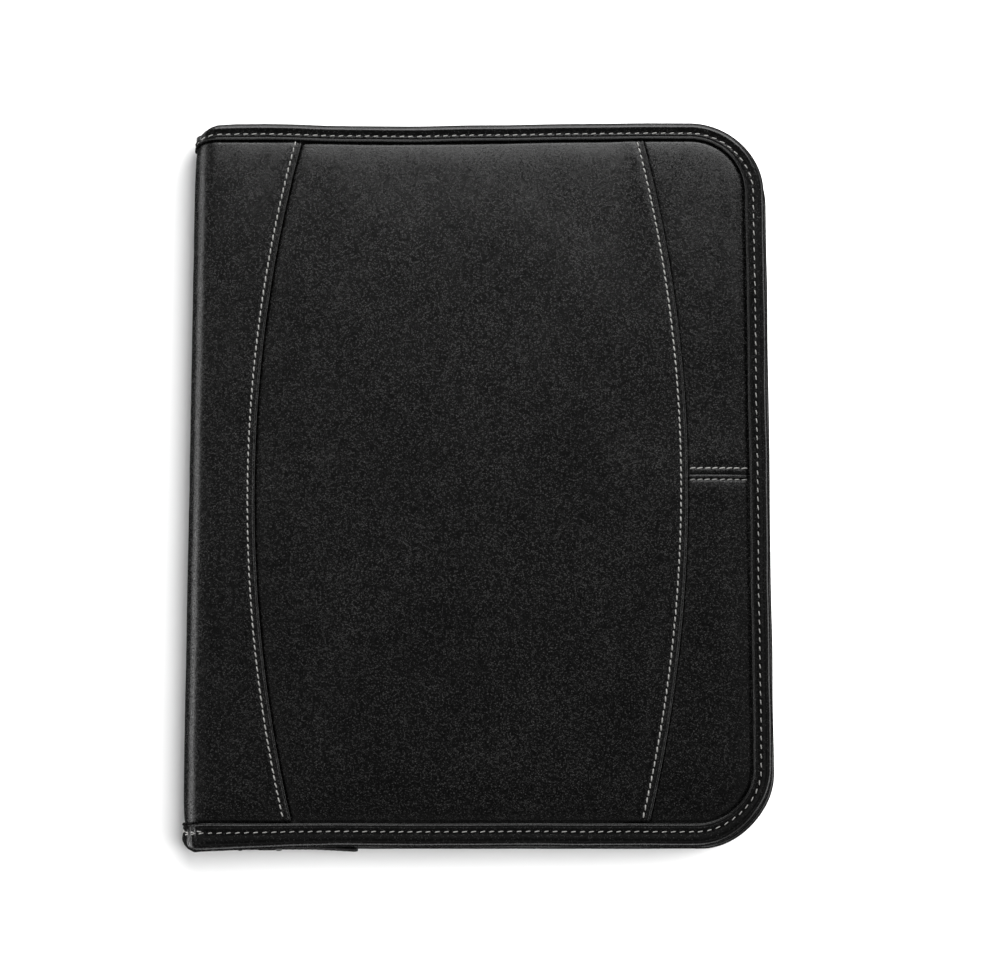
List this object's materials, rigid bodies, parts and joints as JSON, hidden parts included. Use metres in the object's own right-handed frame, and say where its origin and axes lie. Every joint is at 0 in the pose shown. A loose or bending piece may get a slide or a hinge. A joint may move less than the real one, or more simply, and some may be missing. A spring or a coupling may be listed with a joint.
{
  "type": "zippered portfolio case",
  "caption": "Zip-round padded portfolio case with rounded corners, stitched leather panels, a slit pen pocket, and a writing pad and pockets inside.",
  "frame": {"origin": "middle of the flat outer face of the back cover, midway between the head and the foot and between the spine and the open edge", "axes": "+X from the spine to the open edge, +Y from the foot to the head, +Z from the back cover up to the front cover"},
  "size_m": [0.267, 0.3386, 0.025],
  "materials": {
    "back_panel": "black pebbled imitation leather",
    "back_foam": "thin padding foam",
    "back_board": "grey-brown binder's board",
    "back_lining": "black woven nylon",
    "back_binding": "black pebbled imitation leather strip",
    "back_zip_tape": "black woven zip tape",
    "back_zip_chain": "black nylon coil",
    "zip_stop_head": "satin",
    "zip_stop_foot": "satin",
    "pad_pocket": "smooth black imitation leather",
    "pen_loop": "black ribbed elastic",
    "spine_leather": "black pebbled imitation leather",
    "spine_foam": "thin padding foam",
    "spine_stiffener": "flexible plastic sheet",
    "spine_lining": "black woven nylon",
    "spine_binding_head": "black pebbled imitation leather strip",
    "spine_binding_foot": "black pebbled imitation leather strip",
    "front_spine_side_panel": "black pebbled imitation leather",
    "front_center_panel": "black pebbled imitation leather",
    "front_upper_side_panel": "black pebbled imitation leather",
    "front_pen_pocket_panel": "black pebbled imitation leather",
    "front_pen_pocket_lining": "black woven nylon",
    "front_foam": "thin padding foam",
    "front_board": "grey-brown binder's board",
    "front_lining": "black woven nylon",
    "front_binding": "black pebbled imitation leather strip",
    "document_pocket": "smooth black imitation leather",
    "card_pocket_1": "smooth black imitation leather",
    "card_pocket_2": "smooth black imitation leather",
    "card_pocket_3": "smooth black imitation leather",
    "front_zip_tape": "black woven zip tape",
    "front_zip_chain": "black nylon coil",
    "slider_body": "black enamelled die-cast metal",
    "slider_bridge": "black enamelled die-cast metal",
    "pull_link": "black enamelled metal",
    "pull_strap": "black pebbled imitation leather strip",
    "pull_rivet": "dark nickel",
    "pad_backing": "grey-brown chipboard",
    "pad_sheets": "white ruled paper",
    "pad_head_binding": "dark gummed head tape"
  },
  "bodies": {
    "back_cover": {"back_panel": "back_panel", "back_foam": "back_foam", "back_board": "back_board", "back_lining": "back_lining", "back_binding": "back_binding", "back_zip_tape": "back_zip_tape", "back_zip_chain": "back_zip_chain", "zip_stop_head": "zip_stop_head", "zip_stop_foot": "zip_stop_foot", "pad_pocket": "pad_pocket", "pen_loop": "pen_loop"},
    "spine": {"spine_leather": "spine_leather", "spine_foam": "spine_foam", "spine_stiffener": "spine_stiffener", "spine_lining": "spine_lining", "spine_binding_head": "spine_binding_head", "spine_binding_foot": "spine_binding_foot"},
    "front_cover": {"front_spine_side_panel": "front_spine_side_panel", "front_center_panel": "front_center_panel", "front_upper_side_panel": "front_upper_side_panel", "front_pen_pocket_panel": "front_pen_pocket_panel", "front_pen_pocket_lining": "front_pen_pocket_lining", "front_foam": "front_foam", "front_board": "front_board", "front_lining": "front_lining", "front_binding": "front_binding", "document_pocket": "document_pocket", "card_pocket_1": "card_pocket_1", "card_pocket_2": "card_pocket_2", "card_pocket_3": "card_pocket_3", "front_zip_tape": "front_zip_tape", "front_zip_chain": "front_zip_chain"},
    "writing_pad": {"pad_backing": "pad_backing", "pad_sheets": "pad_sheets", "pad_head_binding": "pad_head_binding"},
    "zip_slider": {"slider_body": "slider_body", "slider_bridge": "slider_bridge"},
    "zip_pull": {"pull_link": "pull_link", "pull_strap": "pull_strap", "pull_rivet": "pull_rivet"}
  },
  "joints": [
    {"name": "rear_fold", "type": "hinge", "parent": "back_cover", "child": "spine", "pos_m": [-0.13114, 0, 0.00236], "axis": [0, -1, 0], "range_deg": [0, 90]},
    {"name": "front_fold", "type": "hinge", "parent": "spine", "child": "front_cover", "pos_m": [-0.13114, 0, 0.02263], "axis": [0, -1, 0], "range_deg": [0, 90]},
    {"name": "zip_slide", "type": "slide", "parent": "back_cover", "child": "zip_slider", "axis": [1, 0, 0], "range_m": [0, 0.195]},
    {"name": "pull_swing", "type": "hinge", "parent": "zip_slider", "child": "zip_pull", "pos_m": [-0.108, -0.1679, 0.0125], "axis": [0, 0, -1], "range_deg": [0, 160]},
    {"name": "pad_slide", "type": "slide", "parent": "back_cover", "child": "writing_pad", "axis": [0, 1, 0], "range_m": [0, 0.014]}
  ],
  "couplings": [
    {"joint": "front_fold", "follows": "rear_fold", "ratio": 1}
  ]
}
